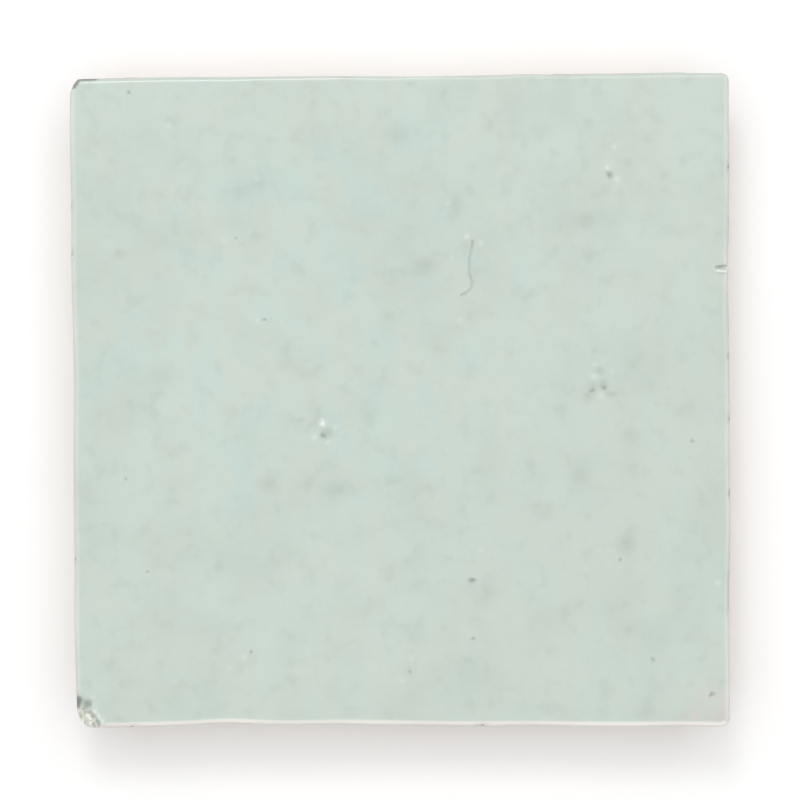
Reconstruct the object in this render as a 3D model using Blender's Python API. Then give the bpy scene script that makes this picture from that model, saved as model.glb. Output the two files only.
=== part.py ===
"""Zellige tile: a square of fired clay cut by hand and glazed on its face, lying on its back.
Metres, +Z up. X runs along the lower side of the face and Y up its left side."""

import math
import random

import bmesh
import bpy
from mathutils import Matrix

MM = 0.001

# Face of the tile, measured between the middles of opposite sides
FACE_WIDTH = 100.15 * MM
FACE_LENGTH = 99.25 * MM

# How far each side is out of square, from one end to the other
LEFT_SIDE_LEAN = 1.0 * MM
RIGHT_SIDE_LEAN = 0.2 * MM
UPPER_SIDE_RISE = 0.85 * MM
LOWER_SIDE_FALL = 0.1 * MM

# Waves that the cutting left along the four sides, and the long hollow of the lower one
SIDE_WAVE = 0.09 * MM
LOWER_SIDE_HOLLOW = 0.27 * MM
LOWER_DIP = 0.36 * MM
LOWER_DIP_AT = -26.6 * MM
LOWER_DIP_HALF_WIDTH = 7.0 * MM

# Corners: how far each one is broken or worn back along X and along Y
UPPER_LEFT_CLIP_X = 1.3 * MM
UPPER_LEFT_CLIP_Y = 2.1 * MM
UPPER_RIGHT_WEAR = 1.2 * MM
LOWER_RIGHT_WEAR = 1.6 * MM
LOWER_LEFT_BREAK_X = 2.5 * MM
LOWER_LEFT_BREAK_Y = 3.4 * MM
CLIPPED = 1.3
BROKEN = 2.1
WORN = 2.0

# Thickness, and the unevenness of a face beaten flat by hand
THICKNESS = 12.0 * MM
EDGE_FALL = 0.3 * MM
EDGE_FALL_WIDTH = 9.0 * MM
BROAD_WAVE = 0.2 * MM
BROAD_WAVE_LENGTH = 78.0 * MM
BROAD_WAVE_TURN = math.radians(34)
CROSS_WAVE = 0.11 * MM
CROSS_WAVE_LENGTH = 41.0 * MM
CROSS_WAVE_TURN = math.radians(118)
THUMB_HOLLOW = 0.16 * MM
THUMB_HOLLOW_RADIUS = 13.0 * MM
THUMB_HOLLOW_AT = (27.0 * MM, -12.0 * MM)

# Rounded rim where the glaze draws back from the arris
RIM_RADIUS = 0.7 * MM

# Sides, cut back so that only the face touches the next tile
BACK_INSET = 2.6 * MM

# Shell-shaped hollows that the hammer broke out of the sides: how many in each row, and how far
# down from the face to the back the middle of the row lies
UPPER_BLOWS = 12
UPPER_BLOWS_DOWN = 0.42
LOWER_BLOWS = 9
LOWER_BLOWS_DOWN = 0.95
BLOW_HALF_WIDTH = 6.4 * MM
BLOW_HALF_HEIGHT = 5.6 * MM
BLOW_HOLLOW = 1.05 * MM
BLOW_LEAN = 0.45
BLOW_START = 0.16
BLOW_END = 7.0 * MM
BLOW_SEED = 11
SIDE_STEPS = (0.07, 0.16, 0.27, 0.39, 0.52, 0.65, 0.78, 0.9, 1.0)

# Scar of the flake that came off the face at the broken corner
FLAKE_HALF_WIDTH = 3.0 * MM
FLAKE_HALF_LENGTH = 6.2 * MM
FLAKE_HALF_DEPTH = 3.2 * MM
FLAKE_FROM_LEFT = 1.0 * MM
FLAKE_FROM_LOWER = 0.8 * MM
FLAKE_ABOVE_FACE = 2.5 * MM
FLAKE_TURN = math.radians(39)
FLAKE_ROUNDNESS = 4

# Nick in the arris of the right side
NICK_HALF_LENGTH = 1.9 * MM
NICK_HALF_WIDTH = 0.4 * MM
NICK_HALF_DEPTH = 0.5 * MM
NICK_UP_SIDE = 0.41
NICK_ROUNDNESS = 2

# Mesh pitch across the face, and the first line inside the rim
FACE_PITCH = 1.95 * MM
RIM_PITCH = 1.3 * MM


def clear_scene():
    for leftover in list(bpy.data.objects):
        bpy.data.objects.remove(leftover, do_unlink=True)


def new_collection(name, helper):
    group = bpy.data.collections.new(name)
    bpy.context.scene.collection.children.link(group)
    group.hide_render = helper
    return group


def grid_lines(span):
    """Distances from one side to the other, closer together over the rounded rim."""
    rim = [RIM_RADIUS * (1 - math.cos(math.radians(turn))) for turn in (0, 45, 90)]
    rim.append(RIM_RADIUS + RIM_PITCH)
    inner = span - 2 * rim[-1]
    count = round(inner / FACE_PITCH)
    middle = [rim[-1] + inner * step / count for step in range(1, count)]
    return rim + middle + [span - distance for distance in reversed(rim)]


def side_wave(along, phase):
    """Outward departure of a side from straight, for along from -1 to 1."""
    ripple = math.sin(5.3 * along + phase) + 0.6 * math.sin(11.9 * along + 2.3 * phase)
    return SIDE_WAVE * ripple


def left_edge(v):
    return -FACE_WIDTH / 2 - LEFT_SIDE_LEAN * v / 2 - side_wave(v, 4.4)


def right_edge(v):
    return FACE_WIDTH / 2 - RIGHT_SIDE_LEAN * v / 2 + side_wave(v, 2.9)


def upper_edge(u):
    return FACE_LENGTH / 2 + UPPER_SIDE_RISE * u / 2 + side_wave(u, 4.4)


def lower_edge(u):
    across = (u * FACE_WIDTH / 2 - LOWER_DIP_AT) / LOWER_DIP_HALF_WIDTH
    inward = LOWER_DIP * math.exp(-2 * across * across) - LOWER_SIDE_HOLLOW * u * u
    return -FACE_LENGTH / 2 - LOWER_SIDE_FALL * u / 2 - side_wave(u, 0.0) + inward


def turn_corner(x, y, corner, reach, power):
    """Draws a square corner in to a clipped or a round one, whose cut is reach long."""
    side_x, side_y = (-math.copysign(1, corner[0]), -math.copysign(1, corner[1]))
    a = 1 - (x - corner[0]) * side_x / reach[0]
    b = 1 - (y - corner[1]) * side_y / reach[1]
    if a <= 0 or b <= 0:
        return x, y
    square = max(a, b)
    length = (a**power + b**power) ** (1 / power)
    a, b = a * square / length, b * square / length
    return corner[0] + side_x * reach[0] * (1 - a), corner[1] + side_y * reach[1] * (1 - b)


def outline_point(u, v, inset=0.0):
    """The place on the face, or on a smaller ring inside it, of the square's point u, v."""
    low_x, high_x = left_edge(v) + inset, right_edge(v) - inset
    low_y, high_y = lower_edge(u) + inset, upper_edge(u) - inset
    x = low_x + (high_x - low_x) * (u + 1) / 2
    y = low_y + (high_y - low_y) * (v + 1) / 2
    corners = (
        (-1, 1, (UPPER_LEFT_CLIP_X, UPPER_LEFT_CLIP_Y), CLIPPED),
        (1, 1, (UPPER_RIGHT_WEAR, UPPER_RIGHT_WEAR), WORN),
        (1, -1, (LOWER_RIGHT_WEAR, LOWER_RIGHT_WEAR), WORN),
        (-1, -1, (LOWER_LEFT_BREAK_X, LOWER_LEFT_BREAK_Y), BROKEN),
    )
    for side_x, side_y, reach, power in corners:
        if u * side_x > 0 and v * side_y > 0:
            corner_x = low_x if side_x < 0 else high_x
            corner_y = low_y if side_y < 0 else high_y
            x, y = turn_corner(x, y, (corner_x, corner_y), reach, power)
    return x, y


def wave(x, y, length, turn):
    return math.sin(2 * math.pi * (x * math.cos(turn) + y * math.sin(turn)) / length)


def face_height(x, y, from_side):
    """Height of the glazed face over the back, before the rim rounds it off."""
    fall = max(0.0, 1 - from_side / EDGE_FALL_WIDTH)
    thumb_x, thumb_y = THUMB_HOLLOW_AT
    thumb = math.hypot(x - thumb_x, y - thumb_y) / THUMB_HOLLOW_RADIUS
    return (
        THICKNESS
        - BROAD_WAVE * (1 - wave(x, y, BROAD_WAVE_LENGTH, BROAD_WAVE_TURN))
        - CROSS_WAVE * (1 - wave(x, y, CROSS_WAVE_LENGTH, CROSS_WAVE_TURN))
        - THUMB_HOLLOW * math.exp(-thumb * thumb)
        - EDGE_FALL * fall * fall
    )


def rim_drop(from_side):
    """How far the rounded rim has dropped at this distance from the outline."""
    if from_side >= RIM_RADIUS:
        return 0.0
    across = 1 - from_side / RIM_RADIUS
    return RIM_RADIUS * (1 - math.sqrt(1 - across * across))


def make_blows():
    """The hollows broken out of each side: where each one lies, its reach, depth and lean."""
    rng = random.Random(BLOW_SEED)
    rows = ((UPPER_BLOWS, UPPER_BLOWS_DOWN), (LOWER_BLOWS, LOWER_BLOWS_DOWN))
    sides = []
    for _ in range(4):
        marks = []
        for count, down in rows:
            for step in range(count):
                along = (2 * (step + rng.uniform(0.15, 0.85)) / count - 1) * FACE_WIDTH / 2
                level = (down + rng.uniform(-0.12, 0.12)) * THICKNESS
                half_width = BLOW_HALF_WIDTH * rng.uniform(0.7, 1.3)
                half_height = BLOW_HALF_HEIGHT * rng.uniform(0.7, 1.2)
                depth = BLOW_HOLLOW * rng.uniform(0.4, 1.0)
                lean = rng.uniform(-BLOW_LEAN, BLOW_LEAN)
                marks.append((along, level, half_width, half_height, depth, lean))
        sides.append(marks)
    return sides


def blow_depth(marks, share, down):
    """Depth of the deepest hollow at this place on a side. down is 0 at the rim, 1 at the back."""
    deepest = 0.0
    for along, level, half_width, half_height, depth, lean in marks:
        below = down * THICKNESS - level
        across = (share * FACE_WIDTH / 2 - along - lean * below) / half_width
        below /= half_height
        deepest = max(deepest, depth * (1 - across * across - below * below))
    near_end = min(1.0, (1 - abs(share)) * FACE_WIDTH / 2 / BLOW_END)
    return deepest * min(1.0, down / BLOW_START) * near_end


def side_point(u, v, down, blows):
    """A point of the ring that runs round the sides at this share of the way down."""
    x, y = outline_point(u, v, BACK_INSET * down**0.85)
    if abs(v) < 1:
        side = 0 if u < 0 else 1
        depth = blow_depth(blows[side], v, down)
        x -= math.copysign(depth, u)
    elif abs(u) < 1:
        side = 2 if v < 0 else 3
        depth = blow_depth(blows[side], u, down)
        y -= math.copysign(depth, v)
    return x, y


def shape_face(bm, u_of, v_of):
    """Lays a flat grid out to the hand-cut outline and gives it the uneven face."""
    columns = grid_lines(FACE_WIDTH)
    rows = grid_lines(FACE_LENGTH)
    bmesh.ops.create_grid(
        bm, x_segments=len(columns) - 1, y_segments=len(rows) - 1, size=1.0
    )
    for vert in bm.verts:
        column = round((vert.co.x + 1) / 2 * (len(columns) - 1))
        row = round((vert.co.y + 1) / 2 * (len(rows) - 1))
        u = 2 * columns[column] / FACE_WIDTH - 1
        v = 2 * rows[row] / FACE_LENGTH - 1
        vert[u_of], vert[v_of] = u, v
        from_side = min(
            columns[column],
            columns[-1 - column],
            rows[row],
            rows[-1 - row],
        )
        x, y = outline_point(u, v)
        vert.co = (x, y, face_height(x, y, from_side) - rim_drop(from_side))


def cut_sides(bm, u_of, v_of):
    """Draws the outline down to the back in rings, cut back and hollowed by the tool."""
    blows = make_blows()
    edges = [edge for edge in bm.edges if edge.is_boundary]
    rim_height = {}
    for edge in edges:
        for vert in edge.verts:
            rim_height[(round(vert[u_of], 6), round(vert[v_of], 6))] = vert.co.z
    for down in SIDE_STEPS:
        made = bmesh.ops.extrude_edge_only(bm, edges=edges)["geom"]
        ring = [item for item in made if isinstance(item, bmesh.types.BMVert)]
        edges = [edge for edge in made if isinstance(edge, bmesh.types.BMEdge)]
        edges = [edge for edge in edges if all(vert in ring for vert in edge.verts)]
        for vert in ring:
            u, v = vert[u_of], vert[v_of]
            x, y = side_point(u, v, down, blows)
            vert.co = (x, y, rim_height[(round(u, 6), round(v, 6))] * (1 - down))
    bmesh.ops.edgeloop_fill(bm, edges=edges)


def make_tile(group):
    bm = bmesh.new()
    u_of = bm.verts.layers.float.new("u")
    v_of = bm.verts.layers.float.new("v")
    shape_face(bm, u_of, v_of)
    cut_sides(bm, u_of, v_of)
    bmesh.ops.recalc_face_normals(bm, faces=bm.faces)
    mesh = bpy.data.meshes.new("zellige_tile")
    bm.to_mesh(mesh)
    bm.free()
    tile = bpy.data.objects.new("zellige_tile", mesh)
    group.objects.link(tile)
    return tile


def chip(group, tile, name, place, half_sizes, roundness, turn=0.0):
    """Breaks a hollow flake out of the tile with a flattened ball."""
    mesh = bpy.data.meshes.new(name)
    bm = bmesh.new()
    bmesh.ops.create_icosphere(bm, subdivisions=roundness, radius=1.0)
    bmesh.ops.scale(bm, vec=half_sizes, verts=bm.verts)
    bmesh.ops.rotate(bm, matrix=Matrix.Rotation(turn, 3, "Z"), verts=bm.verts)
    bmesh.ops.translate(bm, vec=place, verts=bm.verts)
    bm.to_mesh(mesh)
    bm.free()
    cutter = bpy.data.objects.new(name, mesh)
    cutter.hide_render = True
    cutter.display_type = "WIRE"
    group.objects.link(cutter)
    cut = tile.modifiers.new(name, "BOOLEAN")
    cut.operation = "DIFFERENCE"
    cut.solver = "EXACT"
    cut.object = cutter


def stand_on_origin(objects, tile):
    """Moves everything so that the middle of the back is the origin."""
    points = [vert.co for vert in tile.data.vertices]
    middle_x = (max(p.x for p in points) + min(p.x for p in points)) / 2
    middle_y = (max(p.y for p in points) + min(p.y for p in points)) / 2
    for item in objects:
        for vert in item.data.vertices:
            vert.co.x -= middle_x
            vert.co.y -= middle_y


def give_material(tile):
    glaze = bpy.data.materials.new("pale_mint_glaze")
    glaze.use_nodes = True
    shader = glaze.node_tree.nodes["Principled BSDF"]
    shader.inputs["Base Color"].default_value = (0.597, 0.679, 0.617, 1.0)
    shader.inputs["Roughness"].default_value = 0.15
    shader.inputs["Metallic"].default_value = 0.0
    tile.data.materials.append(glaze)


def main():
    clear_scene()
    tiles = new_collection("zellige_tile", helper=False)
    cutters = new_collection("cutters", helper=True)
    tile = make_tile(tiles)
    give_material(tile)
    flake_x = left_edge(-1) + FLAKE_FROM_LEFT
    flake_y = lower_edge(-1) + FLAKE_FROM_LOWER
    flake_z = face_height(flake_x, flake_y, 0.0) + FLAKE_ABOVE_FACE
    place = (flake_x, flake_y, flake_z)
    half_sizes = (FLAKE_HALF_WIDTH, FLAKE_HALF_LENGTH, FLAKE_HALF_DEPTH)
    chip(cutters, tile, "flake", place, half_sizes, FLAKE_ROUNDNESS, FLAKE_TURN)
    nick_x = right_edge(NICK_UP_SIDE)
    nick_y = NICK_UP_SIDE * FACE_LENGTH / 2
    place = (nick_x, nick_y, face_height(nick_x, nick_y, 0.0))
    half_sizes = (NICK_HALF_LENGTH, NICK_HALF_WIDTH, NICK_HALF_DEPTH)
    chip(cutters, tile, "nick", place, half_sizes, NICK_ROUNDNESS)
    stand_on_origin([tile, *cutters.objects], tile)


main()
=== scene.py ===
# %% [markdown]
# # A hand-cut zellige tile
#
# A zellige tile is a square of clay that was beaten flat, cut with a blade, fired, glazed on its
# face and fired again. Nothing on it is quite straight or quite even, and that is what makes it
# look real. The CAD frame already holds its true outline. This lesson makes a finer copy of it,
# with the pits, flakes and tool marks, and gives it the glaze and the clay.

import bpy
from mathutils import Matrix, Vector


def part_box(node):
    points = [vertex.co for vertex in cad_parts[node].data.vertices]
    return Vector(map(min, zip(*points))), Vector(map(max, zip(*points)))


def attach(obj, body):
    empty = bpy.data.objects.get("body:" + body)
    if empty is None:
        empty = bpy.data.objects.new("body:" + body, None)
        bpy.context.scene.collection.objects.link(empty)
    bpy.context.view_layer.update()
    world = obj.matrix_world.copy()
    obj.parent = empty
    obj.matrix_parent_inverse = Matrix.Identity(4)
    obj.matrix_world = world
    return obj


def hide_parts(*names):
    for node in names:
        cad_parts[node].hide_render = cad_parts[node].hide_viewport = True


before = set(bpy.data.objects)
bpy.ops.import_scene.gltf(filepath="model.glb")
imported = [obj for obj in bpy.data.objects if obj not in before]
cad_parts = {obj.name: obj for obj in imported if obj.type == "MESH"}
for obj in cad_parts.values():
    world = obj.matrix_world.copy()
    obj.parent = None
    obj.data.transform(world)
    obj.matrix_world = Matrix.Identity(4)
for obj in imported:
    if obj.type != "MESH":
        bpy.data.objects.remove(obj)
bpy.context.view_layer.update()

# %% Python and Blender modules
import math
import random
from collections import namedtuple

import bmesh
import bpy
from mathutils import Vector, noise

MM = 0.001

# %% [markdown]
# ## The cut outline
#
# The four sides were cut by eye along a template, so each one leans a little and waves a little.
# The sizes below are the ones that the CAD source uses, because this piece stands for that solid.

# %% Sizes of the cut square
FACE_WIDTH = 100.15 * MM
FACE_LENGTH = 99.25 * MM
LEFT_SIDE_LEAN = 1.0 * MM
RIGHT_SIDE_LEAN = 0.2 * MM
UPPER_SIDE_RISE = 0.85 * MM
LOWER_SIDE_FALL = 0.1 * MM
SIDE_WAVE = 0.09 * MM
LOWER_SIDE_HOLLOW = 0.27 * MM
LOWER_DIP = 0.36 * MM
LOWER_DIP_AT = -26.6 * MM
LOWER_DIP_HALF_WIDTH = 7.0 * MM
UPPER_LEFT_CLIP = (1.3 * MM, 2.1 * MM)
UPPER_RIGHT_WEAR = (1.2 * MM, 1.2 * MM)
LOWER_RIGHT_WEAR = (1.6 * MM, 1.6 * MM)
LOWER_LEFT_BREAK = (2.5 * MM, 3.4 * MM)
CLIPPED, BROKEN, WORN = 1.3, 2.1, 2.0
LONG_RIPPLE, SHORT_RIPPLE = 5.3, 11.9
SHORT_SHARE, SHORT_SHIFT = 0.6, 2.3
LEFT_PHASE, RIGHT_PHASE, UPPER_PHASE, LOWER_PHASE = 4.4, 2.9, 4.4, 0.0


# %% Where each side runs
def side_wave(along, phase):
    """Outward departure of a side from straight, for along from -1 to 1."""
    ripple = math.sin(LONG_RIPPLE * along + phase)
    ripple += SHORT_SHARE * math.sin(SHORT_RIPPLE * along + SHORT_SHIFT * phase)
    return SIDE_WAVE * ripple


def left_edge(v):
    """Where the left side lies, v being -1 at its lower end and 1 at its upper one."""
    return -FACE_WIDTH / 2 - LEFT_SIDE_LEAN * v / 2 - side_wave(v, LEFT_PHASE)


def right_edge(v):
    """Where the right side lies."""
    return FACE_WIDTH / 2 - RIGHT_SIDE_LEAN * v / 2 + side_wave(v, RIGHT_PHASE)


def upper_edge(u):
    """Where the upper side lies, u being -1 at its left end and 1 at its right one."""
    return FACE_LENGTH / 2 + UPPER_SIDE_RISE * u / 2 + side_wave(u, UPPER_PHASE)


def lower_edge(u):
    """Where the lower side lies, with its long hollow and its dip."""
    across = (u * FACE_WIDTH / 2 - LOWER_DIP_AT) / LOWER_DIP_HALF_WIDTH
    inward = LOWER_DIP * math.exp(-2 * across * across) - LOWER_SIDE_HOLLOW * u * u
    return -FACE_LENGTH / 2 - LOWER_SIDE_FALL * u / 2 - side_wave(u, LOWER_PHASE) + inward


# %% Clipped and worn corners
def turn_corner(x, y, corner, reach, power):
    """Draws a square corner in to a clipped or a round one, whose cut is reach long."""
    side_x, side_y = (-math.copysign(1, corner[0]), -math.copysign(1, corner[1]))
    a = 1 - (x - corner[0]) * side_x / reach[0]
    b = 1 - (y - corner[1]) * side_y / reach[1]
    if a <= 0 or b <= 0:
        return x, y
    square = max(a, b)
    length = (a**power + b**power) ** (1 / power)
    a, b = a * square / length, b * square / length
    return corner[0] + side_x * reach[0] * (1 - a), corner[1] + side_y * reach[1] * (1 - b)


CORNERS = (
    (-1, 1, UPPER_LEFT_CLIP, CLIPPED),
    (1, 1, UPPER_RIGHT_WEAR, WORN),
    (1, -1, LOWER_RIGHT_WEAR, WORN),
    (-1, -1, LOWER_LEFT_BREAK, BROKEN),
)


def outline_point(u, v, inset=0.0):
    """The place on the face, or on a smaller ring inside it, of the square's point u, v."""
    low_x, high_x = left_edge(v) + inset, right_edge(v) - inset
    low_y, high_y = lower_edge(u) + inset, upper_edge(u) - inset
    x = low_x + (high_x - low_x) * (u + 1) / 2
    y = low_y + (high_y - low_y) * (v + 1) / 2
    for side_x, side_y, reach, power in CORNERS:
        if u * side_x > 0 and v * side_y > 0:
            corner = (low_x if side_x < 0 else high_x, low_y if side_y < 0 else high_y)
            x, y = turn_corner(x, y, corner, reach, power)
    return x, y


# %% [markdown]
# ## The uneven face
#
# The face was beaten flat with a mallet on the floor of the workshop, so it keeps broad waves, a
# thumb's hollow and edges that fall away. They are far too shallow to see from above, but they
# bend every reflection in the glaze. The same waves are in the CAD source. On top of them goes a
# finer swell, which the melted glaze took as it settled.

# %% Sizes of the face
THICKNESS = 12.0 * MM
EDGE_FALL = 0.3 * MM
EDGE_FALL_WIDTH = 9.0 * MM
BROAD_WAVE = 0.2 * MM
BROAD_WAVE_LENGTH = 78.0 * MM
BROAD_WAVE_TURN = math.radians(34)
CROSS_WAVE = 0.11 * MM
CROSS_WAVE_LENGTH = 41.0 * MM
CROSS_WAVE_TURN = math.radians(118)
THUMB_HOLLOW = 0.16 * MM
THUMB_HOLLOW_RADIUS = 13.0 * MM
THUMB_HOLLOW_AT = (27.0 * MM, -12.0 * MM)
RIM_RADIUS = 0.7 * MM
RIM_SPACING = 9.0 * MM
SWELL = 0.035 * MM
SWELL_SPACING = 11.0 * MM
SWELL_LEVEL = 0.6
RIM_USUAL, RIM_UNEVEN, RIM_LEAST = 0.72, 0.6, 0.4


# %% Height of the face over the back
def wave(x, y, length, turn):
    """A straight wave of this length that runs in the direction of the turn."""
    return math.sin(2 * math.pi * (x * math.cos(turn) + y * math.sin(turn)) / length)


def face_height(x, y, from_side):
    """Height of the face over the back, before the rim rounds it off."""
    fall = max(0.0, 1 - from_side / EDGE_FALL_WIDTH)
    thumb_x, thumb_y = THUMB_HOLLOW_AT
    thumb = math.hypot(x - thumb_x, y - thumb_y) / THUMB_HOLLOW_RADIUS
    return (
        THICKNESS
        - BROAD_WAVE * (1 - wave(x, y, BROAD_WAVE_LENGTH, BROAD_WAVE_TURN))
        - CROSS_WAVE * (1 - wave(x, y, CROSS_WAVE_LENGTH, CROSS_WAVE_TURN))
        - THUMB_HOLLOW * math.exp(-thumb * thumb)
        - EDGE_FALL * fall * fall
    )


def rim_drop(x, y, from_side):
    """How far the rim, rounder in some places than in others, has dropped this near the outline."""
    roundness = RIM_USUAL + RIM_UNEVEN * noise.noise(Vector((x, y, 0.07)) / RIM_SPACING)
    radius = RIM_RADIUS * max(RIM_LEAST, min(1.0, roundness))
    if from_side >= radius:
        return 0.0
    across = 1 - from_side / radius
    return radius * (1 - math.sqrt(1 - across * across))


def swell(x, y):
    """The shallow swell of glaze that has melted and settled."""
    place = Vector((x / SWELL_SPACING, y / SWELL_SPACING, 0.0))
    return SWELL * (noise.noise(place) - SWELL_LEVEL)


# %% [markdown]
# ## The marks in the glaze
#
# Gas from the clay breaks through the melted glaze and leaves pinholes. Where it only lifted the
# glaze there are small blisters, where it healed there are dull freckles, and one fine crack runs
# beside them. Each mark below is placed where the photograph shows it, in millimetres from the
# middle of the face.

# %% List the marks
Pinhole = namedtuple("Pinhole", "x y radius depth")
Blister = namedtuple("Blister", "x y radius height")
Freckle = namedtuple("Freckle", "x y width height strength")
DarkStreak = namedtuple("DarkStreak", "start end half_width strength")

PINHOLES = (
    Pinhole(31.8, 34.4, 0.48, 0.26),
    Pinhole(-11.9, -5.4, 0.46, 0.20),
    Pinhole(10.8, -27.5, 0.46, 0.28),
    Pinhole(-22.9, -38.4, 0.28, 0.12),
    Pinhole(38.4, -39.6, 0.32, 0.16),
    Pinhole(47.4, -44.9, 0.42, 0.22),
    Pinhole(1.3, -41.4, 0.23, 0.10),
    Pinhole(-20.9, 12.3, 0.28, 0.14),
    Pinhole(11.0, -36.4, 0.30, 0.14),
    Pinhole(-38.7, -26.1, 0.22, 0.10),
    Pinhole(-42.0, -12.0, 0.25, 0.10),
    Pinhole(-41.6, 47.0, 0.32, 0.16),
    Pinhole(29.1, 1.5, 0.34, 0.10),
    Pinhole(31.0, 1.9, 0.42, 0.12),
    Pinhole(33.4, -24.3, 0.26, 0.12),
    Pinhole(44.4, -6.2, 0.32, 0.12),
    Pinhole(-25.2, 24.7, 0.22, 0.10),
    Pinhole(-49.2, -46.0, 1.00, 0.30),
    Pinhole(-47.9, -46.3, 0.70, 0.22),
)

BLISTERS = (
    Blister(-12.0, -3.6, 0.74, 0.50),
    Blister(-13.2, -5.7, 0.60, 0.14),
    Blister(-11.2, -6.4, 0.55, 0.13),
    Blister(-10.0, -4.2, 0.45, 0.09),
    Blister(-14.6, -3.3, 0.45, 0.09),
    Blister(29.4, 3.6, 0.70, 0.11),
    Blister(29.5, 5.4, 0.45, 0.07),
    Blister(30.5, 0.7, 0.60, 0.11),
    Blister(32.2, 4.4, 0.45, 0.07),
    Blister(32.9, 33.7, 0.65, 0.14),
    Blister(31.5, 35.4, 0.60, 0.12),
    Blister(32.5, 38.7, 0.45, 0.08),
    Blister(10.1, 24.9, 0.60, 0.13),
    Blister(12.2, 23.9, 0.55, 0.11),
    Blister(7.7, 21.7, 0.50, 0.07),
    Blister(7.1, 29.9, 0.50, 0.08),
    Blister(-22.0, 33.7, 0.55, 0.09),
    Blister(-35.5, 41.8, 0.75, 0.08),
    Blister(-23.9, -39.2, 0.50, 0.09),
    Blister(-26.2, -40.9, 0.45, 0.07),
    Blister(0.2, -42.8, 0.50, 0.08),
    Blister(12.2, -22.9, 0.50, 0.08),
    Blister(-22.0, 12.3, 0.45, 0.08),
    Blister(9.0, 12.3, 0.50, 0.07),
    Blister(1.6, -39.5, 0.45, 0.07),
    Blister(-27.1, 24.3, 0.45, 0.07),
    Blister(48.3, -27.9, 0.60, 0.14),
    Blister(48.4, 19.8, 0.44, 0.38),
    Blister(49.0, 19.8, 0.44, 0.38),
    Blister(49.5, 19.7, 0.42, 0.30),
    Blister(-47.1, -45.5, 0.42, 0.12),
    Blister(-46.8, -46.5, 0.45, 0.14),
    Blister(-46.7, -47.5, 0.45, 0.30),
    Blister(-46.2, -48.3, 0.50, 0.34),
    Blister(-45.5, -49.0, 0.50, 0.30),
)

FRECKLES = (
    Freckle(3.7, 20.7, 1.9, 1.2, 0.85),
    Freckle(8.4, 30.3, 0.8, 1.4, 0.60),
    Freckle(27.8, 27.4, 2.2, 0.9, 0.40),
    Freckle(-21.6, 33.2, 1.6, 1.0, 0.50),
    Freckle(-20.3, -12.8, 1.6, 1.4, 0.80),
    Freckle(-9.8, -13.6, 1.7, 1.1, 0.60),
    Freckle(27.0, -11.3, 1.4, 1.5, 0.55),
    Freckle(34.8, -5.1, 1.5, 0.9, 0.50),
    Freckle(34.4, -21.8, 1.3, 1.8, 0.60),
    Freckle(-12.4, -3.2, 2.0, 1.2, 0.35),
    Freckle(29.2, 1.8, 0.8, 1.0, 0.90),
    Freckle(28.5, 0.7, 0.8, 0.7, 0.95),
    Freckle(30.8, 2.4, 0.8, 0.8, 0.90),
    Freckle(32.0, 1.0, 0.9, 0.5, 0.95),
    Freckle(30.3, 4.6, 0.8, 0.6, 0.75),
    Freckle(-11.2, -4.8, 0.8, 0.8, 0.95),
    Freckle(-15.2, -3.0, 1.2, 0.4, 0.50),
    Freckle(16.5, 26.2, 1.0, 0.9, 0.40),
    Freckle(-17.8, 5.4, 1.5, 1.1, 0.35),
    Freckle(1.2, -41.4, 1.0, 1.4, 0.40),
    Freckle(10.6, 13.0, 1.4, 2.0, 0.30),
    Freckle(16.6, -43.9, 1.8, 0.5, 0.35),
    Freckle(-0.6, 40.6, 2.2, 1.6, 0.60),
    Freckle(21.1, 41.2, 1.6, 1.2, 0.35),
    Freckle(-36.5, 4.0, 2.6, 1.4, 0.30),
    Freckle(-3.0, 3.0, 1.4, 1.6, 0.25),
    Freckle(40.2, 34.4, 0.8, 0.8, 0.55),
    Freckle(0.9, -24.5, 0.7, 0.7, 0.45),
    Freckle(35.2, 5.6, 0.8, 0.7, 0.45),
    Freckle(-43.1, 22.7, 0.7, 0.7, 0.45),
    Freckle(1.4, 48.3, 0.7, 0.4, 0.55),
)

# Dark streaks along short lines, in millimetres. The ones in the nick, on the clip and along the
# right side are painted shade. The others darken the crack's ends and the break.
DARK_STREAKS = (
    DarkStreak((48.0, 20.45), (49.6, 20.4), 0.32, 0.28),
    DarkStreak((10.9, 24.4), (10.8, 23.7), 0.42, 0.20),
    DarkStreak((9.1, 16.1), (9.8, 16.3), 0.34, 0.20),
    DarkStreak((-50.0, 48.1), (-49.3, 49.1), 0.50, 0.85),
    DarkStreak((-48.8, 49.15), (-46.7, 49.25), 0.40, 0.85),
    DarkStreak((50.0, -13.4), (50.0, -14.6), 0.25, 0.40),
    DarkStreak((49.9, -26.0), (49.9, -31.4), 0.18, 0.25),
    DarkStreak((49.9, 7.0), (49.9, 6.4), 0.50, 0.30),
    DarkStreak((-49.5, -46.4), (-49.3, -45.7), 0.60, 0.85),
    DarkStreak((-48.1, -46.3), (-47.7, -46.4), 0.55, 0.42),
    DarkStreak((-48.0, -47.5), (-46.9, -48.9), 0.30, 0.75),
)

CRACK = (
    (10.9, 24.3),
    (10.7, 23.0),
    (10.35, 21.6),
    (10.4, 19.4),
    (10.8, 18.1),
    (10.7, 17.2),
    (10.0, 16.5),
    (9.2, 16.1),
)
CRACK_HALF_WIDTH = 0.3
CRACK_DEPTH = 0.06
FAR_AWAY = 9.0
PIT_REACH, PIT_CURVE = 4, 0.8
TWO_LOBES, THREE_LOBES = 0.16, 0.1
LIP_WIDTH, LIP_SHARE = 1.2, 0.1
BLISTER_STEEPNESS = 1.8


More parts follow.
